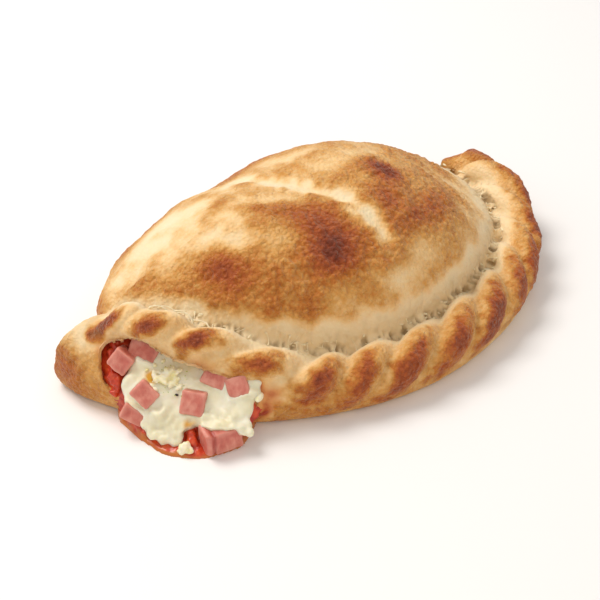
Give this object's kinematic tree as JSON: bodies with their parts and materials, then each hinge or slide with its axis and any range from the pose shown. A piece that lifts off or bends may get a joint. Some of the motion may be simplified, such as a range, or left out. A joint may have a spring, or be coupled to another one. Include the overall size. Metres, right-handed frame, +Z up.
{
  "type": "calzone",
  "caption": "Baked calzone: a folded dough pocket with a roped rim, torn open at one end so that melted mozzarella, tomato sauce and diced ham run out.",
  "frame": {"origin": "on the table, under the middle of the whole part's bounding box", "axes": "+Z up; +X along the fold from the torn end to the sealed tip; the roped rim curves round on the -Y side and the folded edge is on the +Y side"},
  "size_m": [0.2164, 0.1282, 0.0599],
  "materials": {
    "baked_dough": "matte baked dough, pale in the creases and toasted brown on the crests",
    "melted_mozzarella": "moist melted cheese, satin and slightly translucent",
    "tomato_sauce": "wet, chunky, oily at its edge",
    "cooked_ham": "moist pink cut faces, satin"
  },
  "bodies": {
    "root": {"crust": "baked_dough", "cheese": "melted_mozzarella", "sauce": "tomato_sauce", "ham_1": "cooked_ham", "ham_2": "cooked_ham", "ham_3": "cooked_ham", "ham_4": "cooked_ham", "ham_5": "cooked_ham", "ham_6": "cooked_ham", "ham_7": "cooked_ham", "ham_8": "cooked_ham"}
  },
  "joints": []
}
